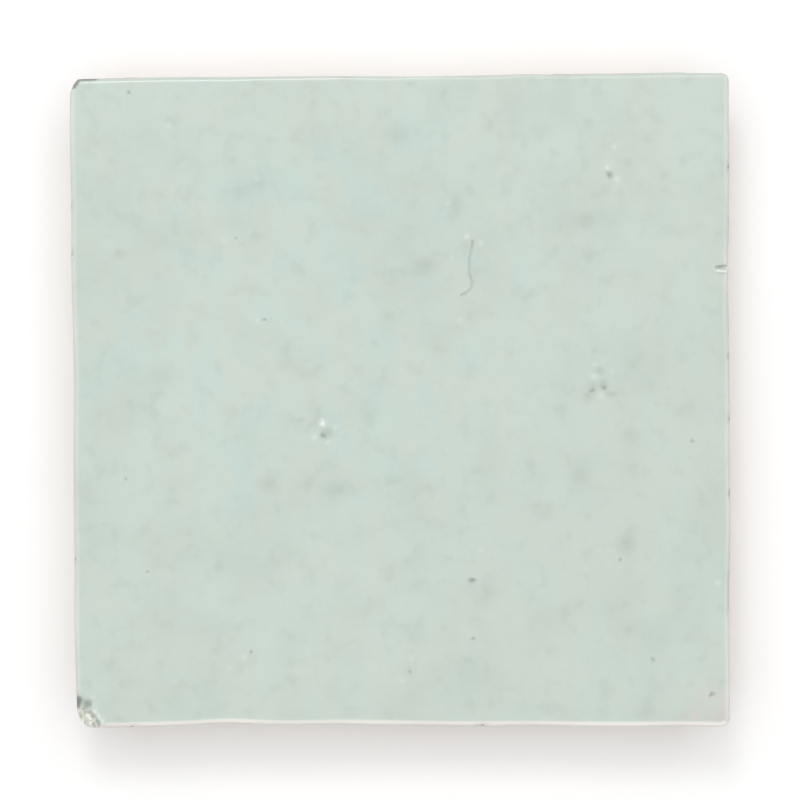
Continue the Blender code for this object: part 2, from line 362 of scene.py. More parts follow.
# %% Depth of a mark at a place
def measure_pinholes(x, y):
    """How far the pinholes sink the face here, and the distance to the nearest one in radii."""
    depth, nearest = 0.0, FAR_AWAY
    for hole in PINHOLES:
        dx, dy = x / MM - hole.x, y / MM - hole.y
        away = math.hypot(dx, dy) / hole.radius
        if away > PIT_REACH:
            continue
        turn = math.atan2(dy, dx)
        lobes = 1 + TWO_LOBES * math.sin(2 * turn + hole.x)
        away *= lobes + THREE_LOBES * math.sin(3 * turn + hole.y)
        nearest = min(nearest, away)
        if away < 1:
            depth += hole.depth * (1 - away * away) ** PIT_CURVE
        elif away < 1 + LIP_WIDTH:
            depth -= LIP_SHARE * hole.depth * math.sin(math.pi * (away - 1) / LIP_WIDTH)
    return depth * MM, nearest


def blister_height(x, y):
    """How far the blisters lift the face here."""
    height = 0.0
    for blister in BLISTERS:
        away = math.hypot(x / MM - blister.x, y / MM - blister.y) / blister.radius
        height += blister.height * math.exp(-BLISTER_STEEPNESS * away * away)
    return height * MM


def distance_to_line(x, y, start, end):
    """Distance from a short straight line, in millimetres."""
    here, a, b = Vector((x / MM, y / MM)), Vector(start), Vector(end)
    share = max(0.0, min(1.0, (here - a).dot(b - a) / (b - a).length_squared))
    return (here - a.lerp(b, share)).length


def distance_to_crack(x, y):
    """Distance from the nearest stretch of the crack, in millimetres."""
    return min(distance_to_line(x, y, start, end) for start, end in zip(CRACK, CRACK[1:]))


def streak_darkness(x, y):
    """How dark the streaks are: painted shade in the nick, on the clip and along the right side,
    and darker spots at the crack's ends and in the break.
    """
    strongest = 0.0
    for dark_streak in DARK_STREAKS:
        away = distance_to_line(x, y, dark_streak.start, dark_streak.end) / dark_streak.half_width
        strongest = max(strongest, dark_streak.strength * math.exp(-(away**4)))
    return strongest


def freckle_strength(x, y):
    """How strong the strongest freckle is here."""
    strongest = 0.0
    for spot in FRECKLES:
        a, b = (x / MM - spot.x) / spot.width, (y / MM - spot.y) / spot.height
        strongest = max(strongest, spot.strength * math.exp(-(a * a + b * b)))
    return strongest


# %% [markdown]
# ## Flake, nick and chips
#
# The lower left corner is broken, and a flake of the face went with it. A flake leaves a shallow
# shell-shaped scar, so it is measured here as the underside of a flattened ball: where the ball
# is lower than the face, the face drops to it. Small chips sit along the whole arris. Their places
# are made up: a seeded random draw scatters them, the same in every run.

# %% Sizes of the flakes
Flake = namedtuple("Flake", "x y z half_width half_length half_depth turn glazed")

FLAKE_HALF_WIDTH = 3.0 * MM
FLAKE_HALF_LENGTH = 6.2 * MM
FLAKE_HALF_DEPTH = 3.2 * MM
FLAKE_FROM_LEFT = 1.0 * MM
FLAKE_FROM_LOWER = 0.8 * MM
FLAKE_ABOVE_FACE = 2.5 * MM
FLAKE_TURN = math.radians(39)
NICK_HALF_LENGTH = 1.9 * MM
NICK_HALF_WIDTH = 0.4 * MM
NICK_HALF_DEPTH = 0.5 * MM
NICK_UP_SIDE = 0.41
CHIPS = 14
CHIP_SEED = 5
CHIP_REACH = 0.96
CHIP_MILLIMETRES = (0.16, 0.36)
CHIP_STRETCH = (1.2, 2.6)
CHIP_SUNK, CHIP_DEPTH = 0.35, 0.7

flake_x = left_edge(-1) + FLAKE_FROM_LEFT
flake_y = lower_edge(-1) + FLAKE_FROM_LOWER
nick_x = right_edge(NICK_UP_SIDE)
nick_y = NICK_UP_SIDE * FACE_LENGTH / 2
flakes = [
    Flake(
        flake_x,
        flake_y,
        face_height(flake_x, flake_y, 0.0) + FLAKE_ABOVE_FACE,
        FLAKE_HALF_WIDTH,
        FLAKE_HALF_LENGTH,
        FLAKE_HALF_DEPTH,
        FLAKE_TURN,
        False,
    ),
    Flake(
        nick_x,
        nick_y,
        face_height(nick_x, nick_y, 0.0),
        NICK_HALF_LENGTH,
        NICK_HALF_WIDTH,
        NICK_HALF_DEPTH,
        0.0,
        True,
    ),
]

# %% Scatter small chips along the arris
chip_rng = random.Random(CHIP_SEED)
for _ in range(CHIPS):
    along = chip_rng.uniform(-CHIP_REACH, CHIP_REACH)
    u, v = chip_rng.choice([(-1, along), (1, along), (along, -1), (along, 1)])
    x, y = outline_point(u, v)
    size = chip_rng.uniform(*CHIP_MILLIMETRES) * MM
    long_side = size * chip_rng.uniform(*CHIP_STRETCH)
    width, length = (size, long_side) if abs(u) == 1 else (long_side, size)
    height = face_height(x, y, 0.0) - CHIP_SUNK * RIM_RADIUS
    flakes.append(Flake(x, y, height, width, length, CHIP_DEPTH * size, 0.0, False))
print("flakes and chips:", len(flakes))


# %% Height where flakes have come off
RAGGED_EDGE = 0.14
RAGGED_SPACING = 1.3 * MM


def under_flakes(x, y, height):
    """The height of the broken surface here, and how far it bares the clay."""
    lowest, bare = height, 0.0
    for flake in flakes:
        dx, dy = x - flake.x, y - flake.y
        reach = max(flake.half_width, flake.half_length)
        if abs(dx) > reach or abs(dy) > reach:
            continue
        a = (dx * math.cos(flake.turn) + dy * math.sin(flake.turn)) / flake.half_width
        b = (dy * math.cos(flake.turn) - dx * math.sin(flake.turn)) / flake.half_length
        ragged = RAGGED_EDGE * noise.noise(Vector((x, y, 0.0)) / RAGGED_SPACING)
        inside = 1 - a * a - b * b + ragged
        if inside > 0:
            lowest = min(lowest, flake.z - flake.half_depth * math.sqrt(inside))
            if not flake.glazed:
                bare = max(bare, height - lowest)
    return lowest, bare


# %% [markdown]
# ## The sides
#
# Behind the face the sides are cut back, so that the glazed edge stands out furthest. The sharp
# hammer broke the clay away in shell-shaped hollows, in an upper and a lower row. Where two
# of them meet a ridge is left, so the depth at a place is that of the deepest hollow there.

# %% Hollows on the sides
BACK_INSET = 2.6 * MM
UPPER_BLOWS = 12
UPPER_BLOWS_DOWN = 0.42
LOWER_BLOWS = 9
LOWER_BLOWS_DOWN = 0.95
BLOW_HALF_WIDTH = 6.4 * MM
BLOW_HALF_HEIGHT = 5.6 * MM
BLOW_HOLLOW = 1.05 * MM
BLOW_LEAN = 0.45
BLOW_START = 0.16
BLOW_END = 7.0 * MM
BLOW_SEED = 11
BLOW_PLACES, BLOW_LEVELS = (0.15, 0.85), (-0.12, 0.12)
BLOW_WIDTHS, BLOW_HEIGHTS, BLOW_DEPTHS = (0.7, 1.3), (0.7, 1.2), (0.4, 1.0)


def make_blows():
    """The hollows broken out of each side: where each one lies, its reach, depth and lean."""
    rng = random.Random(BLOW_SEED)
    rows = ((UPPER_BLOWS, UPPER_BLOWS_DOWN), (LOWER_BLOWS, LOWER_BLOWS_DOWN))
    sides = []
    for _ in range(4):
        marks = []
        for count, down in rows:
            for step in range(count):
                along = (2 * (step + rng.uniform(*BLOW_PLACES)) / count - 1) * FACE_WIDTH / 2
                level = (down + rng.uniform(*BLOW_LEVELS)) * THICKNESS
                half_width = BLOW_HALF_WIDTH * rng.uniform(*BLOW_WIDTHS)
                half_height = BLOW_HALF_HEIGHT * rng.uniform(*BLOW_HEIGHTS)
                depth = BLOW_HOLLOW * rng.uniform(*BLOW_DEPTHS)
                lean = rng.uniform(-BLOW_LEAN, BLOW_LEAN)
                marks.append((along, level, half_width, half_height, depth, lean))
        sides.append(marks)
    return sides


def blow_depth(marks, share, down):
    """Depth of the deepest hollow at this place on a side. down is 0 at the rim, 1 at the back."""
    deepest = 0.0
    for along, level, half_width, half_height, depth, lean in marks:
        below = down * THICKNESS - level
        across = (share * FACE_WIDTH / 2 - along - lean * below) / half_width
        below /= half_height
        deepest = max(deepest, depth * (1 - across * across - below * below))
    near_end = min(1.0, (1 - abs(share)) * FACE_WIDTH / 2 / BLOW_END)
    return deepest * min(1.0, down / BLOW_START) * near_end


BLOWS = make_blows()
BLOW_FADE = 8.0 * MM
CUT_BACK_CURVE = 0.85


# %% A point on the sides or the back
def cut_point(u, v, down):
    """Where the square's point u, v lies on the ring or the back that is this far down."""
    x, y = outline_point(u, v, BACK_INSET * down**CUT_BACK_CURVE)
    sides = (
        (1 + u, v, FACE_WIDTH, 1, 0),
        (1 - u, v, FACE_WIDTH, -1, 0),
        (1 + v, u, FACE_LENGTH, 0, 1),
        (1 - v, u, FACE_LENGTH, 0, -1),
    )
    for marks, (away, along, span, into_x, into_y) in zip(BLOWS, sides):
        fade = 1 - away * span / 2 / BLOW_FADE
        if fade > 0:
            depth = fade * blow_depth(marks, along, down)
            x += into_x * depth
            y += into_y * depth
    return x, y


# %% [markdown]
# ## Build the mesh
#
# Face and back start as two flat grids whose lines lie close together over the rounded rim. The
# face is cut finer around each mark, so that the pits are real hollows and the rest stays light.
# Where fine meets coarse a face has many corners, and it is cut into triangles while it is flat.
# Two numbers, u and v, ride along on every point: they say where on the square it belongs.

# %% Grid lines and mesh pitch
FACE_PITCH = 0.72 * MM
RIM_TURNS = (0, 22.5, 45, 67.5, 90)
NEAR_RIM = (0.22 * MM, 0.5 * MM, 0.85 * MM, 1.3 * MM)
SIDE_RINGS = 28


def grid_lines(span):
    """Distances of the grid's lines from one side, closer together over the rounded rim."""
    rim = [RIM_RADIUS * (1 - math.cos(math.radians(turn))) for turn in RIM_TURNS]
    rim += [RIM_RADIUS + step for step in NEAR_RIM]
    inner = span - 2 * rim[-1]
    count = round(inner / FACE_PITCH)
    middle = [rim[-1] + inner * step / count for step in range(1, count)]
    return rim + middle + [span - distance for distance in reversed(rim)]


def lay_grid(bm, u_of, v_of, height):
    """Adds a flat grid, gives its points their u and v and puts them on the outline."""
    columns, rows = grid_lines(FACE_WIDTH), grid_lines(FACE_LENGTH)
    made = bmesh.ops.create_grid(
        bm, x_segments=len(columns) - 1, y_segments=len(rows) - 1, size=1.0
    )
    for vert in made["verts"]:
        column = round((vert.co.x + 1) / 2 * (len(columns) - 1))
        row = round((vert.co.y + 1) / 2 * (len(rows) - 1))
        vert[u_of] = 2 * columns[column] / FACE_WIDTH - 1
        vert[v_of] = 2 * rows[row] / FACE_LENGTH - 1
        vert.co.xy = outline_point(vert[u_of], vert[v_of])
        vert.co.z = height


# %% Cut the grid finer around the marks
COARSE_EDGE = 0.5 * MM
FINE_RADII, FINE_MARGIN = 2.2, 0.8
FINE_CRACK, FINE_FLAKE, FINE_NICK, FINE_CLIP = 1.5 * MM, 4.4 * MM, 2.8 * MM, 3.2 * MM
CLIP_AT = (-49.0 * MM, 49.0 * MM)
FINEST, FINE = 4, 3


def refine(bm, x, y, reach, cuts):
    """Splits the long edges near a place: all those of the face, but only the rim of the back."""
    spot = Vector((x, y))
    near = [
        edge
        for edge in bm.edges
        if all((vert.co.xy - spot).length < reach for vert in edge.verts)
        and edge.calc_length() > COARSE_EDGE
        and (edge.verts[0].co.z > 0 or edge.is_boundary)
    ]
    bmesh.ops.subdivide_edges(bm, edges=near, cuts=cuts, use_grid_fill=True)


bm = bmesh.new()
u_of = bm.verts.layers.float.new("u")
v_of = bm.verts.layers.float.new("v")
lay_grid(bm, u_of, v_of, THICKNESS)
lay_grid(bm, u_of, v_of, 0.0)
for mark in PINHOLES + BLISTERS:
    reach = (FINE_RADII * mark.radius + FINE_MARGIN) * MM
    refine(bm, mark.x * MM, mark.y * MM, reach, FINEST)
for start, end in zip(CRACK, CRACK[1:]):
    middle = (Vector(start) + Vector(end)) / 2 * MM
    refine(bm, middle.x, middle.y, FINE_CRACK, FINEST)
refine(bm, flake_x, flake_y, FINE_FLAKE, FINE)
refine(bm, nick_x, nick_y, FINE_NICK, FINE)
refine(bm, *CLIP_AT, FINE_CLIP, FINE)
many_sided = [face for face in bm.faces if len(face.verts) > 4]
bmesh.ops.triangulate(bm, faces=many_sided, quad_method="BEAUTY", ngon_method="BEAUTY")
print("points laid:", len(bm.verts), "faces cut into triangles:", len(many_sided))

# %% [markdown]
# ## Raise the face and remember the glaze
#
# Each point gets its height from the waves, the swell, the rim and the marks. More numbers stay on
# the points for the materials to read: how far inside the edge of the glaze a point lies, in
# millimetres, how thin or lifted the glaze is, where a lift also sets a blister's painted
# highlight, how strong a freckle is, how dark a streak is, which is in part painted shade, and how
# far the nearest pinhole and the crack are. The materials draw a sharp edge where such a distance
# passes a limit.

# %% Numbers for the materials
glaze_of = bm.verts.layers.float.new("glaze_reach")
thin_of = bm.verts.layers.float.new("thin_glaze")
blister_glint_of = bm.verts.layers.float.new("blister")
freckle_of = bm.verts.layers.float.new("freckle")
hole_of = bm.verts.layers.float.new("hole")
crack_of = bm.verts.layers.float.new("crack")
dark_streak_of = bm.verts.layers.float.new("dark_streak")
torn_of = bm.verts.layers.float.new("torn")
WELL_GLAZED = 5.0
GLAZE_LOSS = 6
FRECKLE_SINK = 0.02 * MM
SCAR_GRAIN = 0.2 * MM
SCAR_GRAIN_SPACING = 1.0 * MM
# A fractal's numbers: how fast its grain weakens, how much finer each step is, how many steps.
SCAR_FRACTAL = (0.8, 2.1, 4)
THIN_RIM = 0.95 * MM
THIN_LEFT, THIN_RIGHT, THIN_LOWER, THIN_UPPER = 0.7, 0.6, 2.4, 0.3
# Painted highlight: the higher a blister stands, the whiter it is painted, on top of the paler thin
# glaze it has.
BLISTER_GLINT = 1.9


def from_nearest_side(u, v):
    """Distance from the nearest side of the square."""
    return min((1 - abs(u)) * FACE_WIDTH / 2, (1 - abs(v)) * FACE_LENGTH / 2)


def glaze_thinness(u, v):
    """How thin the glaze drew out over the rim, thinnest on the lower side."""
    thinnest = 0.0
    for share, away, length in (
        (THIN_LEFT, 1 + u, FACE_WIDTH),
        (THIN_RIGHT, 1 - u, FACE_WIDTH),
        (THIN_LOWER, 1 + v, FACE_LENGTH),
        (THIN_UPPER, 1 - v, FACE_LENGTH),
    ):
        thinnest = max(thinnest, share * (1 - away * length / 2 / THIN_RIM))
    return min(1.0, thinnest)


def raise_face(vert):
    """Lifts a point of the flat grid to its height and notes its numbers for the materials."""
    u, v = vert[u_of], vert[v_of]
    x, y = outline_point(u, v)
    from_side = from_nearest_side(u, v)
    sunk, hole = measure_pinholes(x, y)
    crack = distance_to_crack(x, y)
    freckle = freckle_strength(x, y)
    height = face_height(x, y, from_side) + swell(x, y) - rim_drop(x, y, from_side)
    lift = blister_height(x, y)
    height += lift - sunk - FRECKLE_SINK * freckle
    height -= CRACK_DEPTH * MM * max(0.0, 1 - crack / CRACK_HALF_WIDTH)
    height, bare = under_flakes(x, y, height)
    grain = noise.fractal(Vector((x, y, 0.0)) / SCAR_GRAIN_SPACING, *SCAR_FRACTAL)
    height += SCAR_GRAIN * grain * min(1.0, bare / SCAR_GRAIN)
    vert.co = (x, y, height)
    vert[glaze_of] = -GLAZE_LOSS * bare / MM if bare > 0 else WELL_GLAZED
    vert[thin_of] = glaze_thinness(u, v)
    vert[blister_glint_of] = min(1.0, BLISTER_GLINT * lift / MM)
    vert[freckle_of] = freckle
    vert[hole_of] = hole
    vert[crack_of] = crack
    vert[dark_streak_of] = streak_darkness(x, y)


face = [vert for vert in bm.verts if vert.co.z > 0]
back = [vert for vert in bm.verts if vert.co.z == 0]
for vert in face:
    raise_face(vert)
print("points on the face and on the back:", len(face), len(back))

# %% [markdown]
# ## Draw the sides down to the back
#
# The outline is extruded ring by ring. The glaze ran a little way over the arris before it set, so
# near the top each side carries a thin skin of it that ends in a rounded bead.

# %% How far the glaze ran down the sides
RUN = 1.5 * MM
GLAZE_SKIN = 0.07 * MM
GLAZE_BEAD = 0.12 * MM
BEAD_WIDTH = 0.3 * MM
SLOW_RUN, QUICK_RUN, DRIP_RUN = 0.9 * MM, 0.35 * MM, 5.0 * MM
SLOW_SPACING, QUICK_SPACING, DRIP_SPACING = 9 * MM, 2.6 * MM, 5 * MM
DRIP_LEVEL = 0.25


def glaze_run(x, y):
    """How far down the side the glaze ran at this place on the outline."""
    slow = noise.noise(Vector((x, y, 0.0)) / SLOW_SPACING)
    quick = noise.noise(Vector((x, y, 0.01)) / QUICK_SPACING)
    drip = max(0.0, noise.noise(Vector((x, y, 0.03)) / DRIP_SPACING) - DRIP_LEVEL)
    return RUN + SLOW_RUN * slow + QUICK_RUN * quick + DRIP_RUN * drip


def glaze_thickness(inside):
    """How far the glaze stands out of the clay, this far inside its lower edge."""
    if inside < 0:
        return 0.0
    bead = math.exp(-(((inside - BEAD_WIDTH) / BEAD_WIDTH) ** 2))
    return GLAZE_SKIN * min(1.0, inside / BEAD_WIDTH) + GLAZE_BEAD * bead


# %% Extrude the rings
def extrude_ring(bm, edges):
    """Extrudes a closed row of edges and returns the points and the edges of the new row."""
    made = bmesh.ops.extrude_edge_only(bm, edges=edges)["geom"]
    ring = {item for item in made if isinstance(item, bmesh.types.BMVert)}
    edges = [
        item
        for item in made
        if isinstance(item, bmesh.types.BMEdge) and all(vert in ring for vert in item.verts)
    ]
    return ring, edges


MARK_REACH = 0.6 * MM
RING_CROWDING = 1.25
SIDE_THINNESS, EDGE_THINNESS = 0.35, 0.65
rim_height = {}
edges = [edge for edge in bm.edges if edge.is_boundary and edge.verts[0].co.z > 0]
for vert in {vert for edge in edges for vert in edge.verts}:
    rim_height[(round(vert[u_of], 6), round(vert[v_of], 6))] = vert.co.z
for step in range(1, SIDE_RINGS + 1):
    down = (step / SIDE_RINGS) ** RING_CROWDING
    ring, edges = extrude_ring(bm, edges)
    for vert in ring:
        u, v = vert[u_of], vert[v_of]
        top = rim_height[(round(u, 6), round(v, 6))]
        x, y = cut_point(u, v, down)
        inside = glaze_run(*outline_point(u, v)) - down * top
        vert.co = (x, y, top * (1 - down))
        vert[glaze_of] = min(vert[glaze_of], inside / MM)
        vert[thin_of] = SIDE_THINNESS + max(0.0, EDGE_THINNESS - inside / MM)
        fade = max(0.0, 1 - down * top / MARK_REACH)
        vert[dark_streak_of] *= fade
        vert[blister_glint_of] *= fade
        if down * top > MARK_REACH:
            vert[hole_of] = FAR_AWAY
side_verts = [vert for vert in bm.verts if vert.co.z < THICKNESS - 2 * RIM_RADIUS]
print("points on the sides:", len(side_verts))

# %% Weld the back on
BACK_DENT = 0.3 * MM
BACK_DENT_SPACING = 16 * MM
BACK_DENT_LEVEL = 0.12
BACK_FRACTAL = (1.0, 2.0, 3)
CLEAR_OF_BACK = 0.5 * BACK_DENT
WELD, ON_THE_FLOOR = 0.002 * MM, 0.001 * MM


def back_height(x, y):
    """The back lies flat on the floor, but for shallow dents."""
    dent = noise.fractal(Vector((x, y, 0.2)) / BACK_DENT_SPACING, *BACK_FRACTAL)
    return BACK_DENT * max(0.0, dent - BACK_DENT_LEVEL)


for vert in back:
    vert.co.xy = cut_point(vert[u_of], vert[v_of], 1.0)
    vert[glaze_of] = -WELL_GLAZED
    vert[hole_of] = vert[crack_of] = FAR_AWAY
bmesh.ops.remove_doubles(bm, verts=bm.verts, dist=WELD)
for vert in bm.verts:
    if vert.co.z < ON_THE_FLOOR:
        vert.co.z = back_height(vert.co.x, vert.co.y)
bmesh.ops.recalc_face_normals(bm, faces=bm.faces)
loose = [edge for edge in bm.edges if not edge.is_manifold]
print("open edges after welding the back:", len(loose))

# %% [markdown]
# ## Roughen the clay
#
# Under the tool the clay breaks away in small shell-shaped scars, each with a ridge round it, and
# the broken surface is grainy. The distance to the nearest of many scattered points draws just
# such scars. Each clay point moves along its own normal, and the glazed skin stands out over it.
# noise_vector is seeded by the clock, so the scars lie elsewhere in each run.

# %% Move the clay and the glaze skin
SCAR = 0.42 * MM
SCAR_SPACING = 5.5 * MM
GRAIN = 0.24 * MM
GRAIN_SPACING = 2.1 * MM
GRAIN_FRACTAL = (0.7, 2.2, 4)
CLAY_FULLY_TORN = 1.5 * MM
SCAR_WARP, SCAR_RIDGE, SCAR_LEVEL = 0.35, 0.8, 0.55
STEEP = 0.75


def torn_height(place):
    """Height of the broken clay: low in the middle of each scar, high on the ridges."""
    warp = noise.noise_vector(place / SCAR_SPACING) * SCAR_WARP
    nearest = noise.voronoi(place / SCAR_SPACING + warp)[0][0]
    grain = noise.fractal(place / GRAIN_SPACING, *GRAIN_FRACTAL)
    return SCAR * (min(nearest, SCAR_RIDGE) - SCAR_LEVEL) + GRAIN * grain


bm.normal_update()
for vert in bm.verts:
    on_side = abs(vert.normal.z) < STEEP and vert.co.z < THICKNESS - 2 * RIM_RADIUS
    if on_side and vert.co.z > CLEAR_OF_BACK:
        inside = vert[glaze_of] * MM
        clay = min(1.0, max(0.0, -inside / CLAY_FULLY_TORN))
        torn = torn_height(vert.co)
        # The clay colour reads torn to paint shade into the hollows of the scars.
        vert[torn_of] = 0.5 + 0.5 * torn / SCAR
        vert.co += vert.normal * (clay * torn + glaze_thickness(inside))

# %% Make the tile object
mesh = bpy.data.meshes.new("tile_glazed_clay")
bm.to_mesh(mesh)
bm.free()
mesh.shade_smooth()
tile = bpy.data.objects.new("tile_glazed_clay", mesh)
bpy.context.scene.collection.objects.link(tile)
low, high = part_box("zellige_tile")
for axis in (0, 1, 2):
    places = [vert.co[axis] for vert in mesh.vertices]
    nearest, farthest = min(places), max(places)
    share = (high[axis] - low[axis]) / (farthest - nearest)
    for vert in mesh.vertices:
        vert.co[axis] = low[axis] + (vert.co[axis] - nearest) * share
    print("fitted to the CAD box along", "XYZ"[axis], "by a scale of", round(share, 5))
triangles = sum(len(face.vertices) - 2 for face in mesh.polygons)
print("triangles in the tile:", triangles)

# %% [markdown]
# ## Glaze and clay
#
# The glaze is glass made cloudy with tin, tinted with a little copper. It is pale mint where it is
# thick, cream where it drew thin over the rim, and flecked where specks of the clay melted in. The
# clay is bare on the sides, on the back and in the scar. The clouds and the grain of both come
# from noise on Object coordinates, so they stay on the tile wherever it is moved.


# %% Colours and a helper for nodes
def colour(hex_code):
    """Turns a colour written as sRGB hex into the linear one that Blender mixes."""
    channels = [int(hex_code[i : i + 2], 16) / 255 for i in (1, 3, 5)]
    linear = [c / 12.92 if c <= 0.04045 else ((c + 0.055) / 1.055) ** 2.4 for c in channels]
    return (*linear, 1.0)


def add_node(tree, kind, links=(), **settings):
    """Adds a node, sets its properties or sockets by name, and links sockets into it."""
    node = tree.nodes.new(kind)
    for name, value in settings.items():
        if name in node.bl_rna.properties:
            setattr(node, name, value)
        else:
            node.inputs[name.replace("_", " ")].default_value = value
    for socket, source in links:
        tree.links.new(source, node.inputs[socket])
    return node


# %% Patterns that both materials read
def pattern(tree, place, size, detail=2.0, kind="ShaderNodeTexNoise", **settings):
    """A noise whose features are about size metres across."""
    node = add_node(tree, kind, [("Vector", place)], Scale=1 / size, **settings)
    if kind == "ShaderNodeTexNoise":
        node.inputs["Detail"].default_value = detail
    return node.outputs[0]


def ramp(tree, source, low, high):
    """Stretches the part of a pattern between low and high to 0 and 1."""
    node = add_node(
        tree,
        "ShaderNodeMapRange",
        [("Value", source)],
        interpolation_type="SMOOTHSTEP",
    )
    node.inputs["From Min"].default_value = low
    node.inputs["From Max"].default_value = high
    return node.outputs["Result"]


def patchy(tree, place, size, detail, low, high):
    """Patches about size metres across, which fade in between two levels of a noise."""
    return ramp(tree, pattern(tree, place, size, detail), low, high)


def blend(tree, share, first, second):
    """Mixes two colours, each one a hex code or a socket, by a share."""
    node = add_node(tree, "ShaderNodeMix", data_type="RGBA")
    for socket, value in ((node.inputs[6], first), (node.inputs[7], second)):
        if isinstance(value, str):
            socket.default_value = colour(value)
        else:
            tree.links.new(value, socket)
    if isinstance(share, float):
        node.inputs[0].default_value = share
    else:
        tree.links.new(share, node.inputs[0])
    return node.outputs[2]


def arithmetic(tree, operation, first, second):
    """Does a sum with two values, each one a number or a socket."""
    node = add_node(tree, "ShaderNodeMath", operation=operation)
    for socket, value in zip(node.inputs, (first, second)):
        if isinstance(value, (int, float)):
            socket.default_value = value
        else:
            tree.links.new(value, socket)
    return node.outputs[0]


def about_zero(tree, place, size, detail):
    """A noise between -0.5 and 0.5, which makes an edge ragged."""
    return arithmetic(tree, "SUBTRACT", pattern(tree, place, size, detail), 0.5)


def bumps(tree, place, size, detail, height):
    """Bumps about size metres across, as a height in millimetres."""
    return arithmetic(tree, "MULTIPLY", pattern(tree, place, size, detail), height)


def start_material(name):
    """A new material with its node tree, its shader and the socket of its Object coordinates."""
    material = bpy.data.materials.new(name)
    material.use_nodes = True
    tree = material.node_tree
    shader = tree.nodes["Principled BSDF"]
    place = add_node(tree, "ShaderNodeTexCoord").outputs["Object"]
    return material, tree, shader, place


def stored(tree, name):
    """A number that the mesh keeps on its points."""
    return add_node(tree, "ShaderNodeAttribute", attribute_name=name).outputs["Fac"]


# %% Fired clay
# Clay that was fired and broken by the hammer is quite matt, so the eye sees only its soft colour
# and its grain, with shade painted into the hollows of its scars and highlights painted on it near
# the face. Its own surface has no highlight to speak of.
CLAY_ROUGHNESS, CLAY_IOR = 0.92, 1.5
CLAY = "#d9ccb9"
CLAY_PALE = "#e6dccd"
CLAY_PINK = "#d3baa5"
CLAY_SPECK = "#8d7460"
CLAY_PORES_AND_SHADE = "#a98f79"
CLAY_SOAKED = "#d9ddd3"
CLAY_STAIN = "#7f877b"
CLAY_PAINTED_GLINT = "#f4f5ef"
SOAKED_FROM, SOAKED_TO = 9.4 * MM, 11.0 * MM
OFF_THE_GRID = (1.3 * MM, 2.1 * MM, 3.7 * MM)
# Each pattern is its size, its detail and the two levels between which it fades in. Where a name
# ends in FADES it is two such levels alone.
CLAY_CLOUDS = (17 * MM, 5.0, 0.3, 0.75)
CLAY_PATCHES = (2.3 * MM, 9.0, 0.42, 0.64)
CLAY_PORES = (MM, 6.0, 0.42, 0.3)
SPARSE_SPECKS = (3.1 * MM, 2.0, 0.5, 0.62)
BROKEN_GRAIN, STAIN_FADES, GLINT_FADES = (0.9 * MM, 4.0), (0.5, 0.38), (0.55, 0.63)
SPECK_SPACING, SPECK_FADES, HOLLOW_SHADE_FADES = 1.3 * MM, (0.17, 0.08), (0.5, 0.1)
PATCH_SHARE, SPECK_SHARE, HOLLOW_SHADE_SHARE, PORE_SHARE = 0.6, 0.6, 0.55, 0.7
SOAKED_SHARE, STAIN_SHARE = 0.9, 0.5
# Size, detail and height of the bumps in the clay.
GRAINS, TEARS = (0.5 * MM, 5.0, 0.2), (1.7 * MM, 9.0, 0.45)


def clay_colour(tree, place):
    """Beige fired clay with grog specks, paler near the face where the glaze soaked in, with
    painted shade in the hollows of its scars and painted highlights near the face.
    """
    height = add_node(tree, "ShaderNodeSeparateXYZ", [("Vector", place)]).outputs["Z"]
    broken = pattern(tree, place, *BROKEN_GRAIN)
    place = add_node(tree, "ShaderNodeVectorMath", [(0, place)], operation="ADD")
    place.inputs[1].default_value = OFF_THE_GRID
    place = place.outputs[0]
    clouds = patchy(tree, place, *CLAY_CLOUDS)
    patches = patchy(tree, place, *CLAY_PATCHES)
    specks = pattern(tree, place, SPECK_SPACING, kind="ShaderNodeTexVoronoi", Randomness=1.0)
    sparse = patchy(tree, place, *SPARSE_SPECKS)
    specks = arithmetic(tree, "MULTIPLY", ramp(tree, specks, *SPECK_FADES), sparse)
    # Painted shade: the clay is darker in the hollows of its scars, where the torn height is low,
    # in the same colour as its pores.
    hollows = ramp(tree, stored(tree, "torn"), *HOLLOW_SHADE_FADES)
    hollows = arithmetic(tree, "MULTIPLY", hollows, HOLLOW_SHADE_SHARE)
    pores = arithmetic(tree, "MULTIPLY", patchy(tree, place, *CLAY_PORES), PORE_SHARE)
    tone = blend(tree, clouds, CLAY, CLAY_PINK)
    tone = blend(tree, arithmetic(tree, "MULTIPLY", patches, PATCH_SHARE), tone, CLAY_PALE)
    tone = blend(tree, arithmetic(tree, "MAXIMUM", hollows, pores), tone, CLAY_PORES_AND_SHADE)
    soaked = ramp(tree, height, SOAKED_FROM, SOAKED_TO)
    soaked = arithmetic(tree, "MULTIPLY", soaked, SOAKED_SHARE)
    stains = arithmetic(tree, "MULTIPLY", ramp(tree, broken, *STAIN_FADES), soaked)
    # Painted highlights: near-white flecks on the broken clay near the face.
    lights = arithmetic(tree, "MULTIPLY", ramp(tree, broken, *GLINT_FADES), soaked)
    tone = blend(tree, soaked, tone, CLAY_SOAKED)
    tone = blend(tree, arithmetic(tree, "MULTIPLY", stains, STAIN_SHARE), tone, CLAY_STAIN)
    tone = blend(tree, lights, tone, CLAY_PAINTED_GLINT)
    return blend(tree, arithmetic(tree, "MULTIPLY", specks, SPECK_SHARE), tone, CLAY_SPECK)


def clay_relief(tree, place):
    """Sand grains and tears, as a height in millimetres."""
    grains, tears = bumps(tree, place, *GRAINS), bumps(tree, place, *TEARS)
    return arithmetic(tree, "ADD", grains, tears)


def make_clay():
    """Matt fired clay, rough all over, with grains and tears that catch the light."""
    material, tree, shader, place = start_material("fired_clay")
    relief = add_node(
        tree, "ShaderNodeBump", [("Height", clay_relief(tree, place))], Distance=MM
    )
    tree.links.new(clay_colour(tree, place), shader.inputs["Base Color"])
    tree.links.new(relief.outputs[0], shader.inputs["Normal"])
    shader.inputs["Roughness"].default_value = CLAY_ROUGHNESS
    shader.inputs["IOR"].default_value = CLAY_IOR
    return material


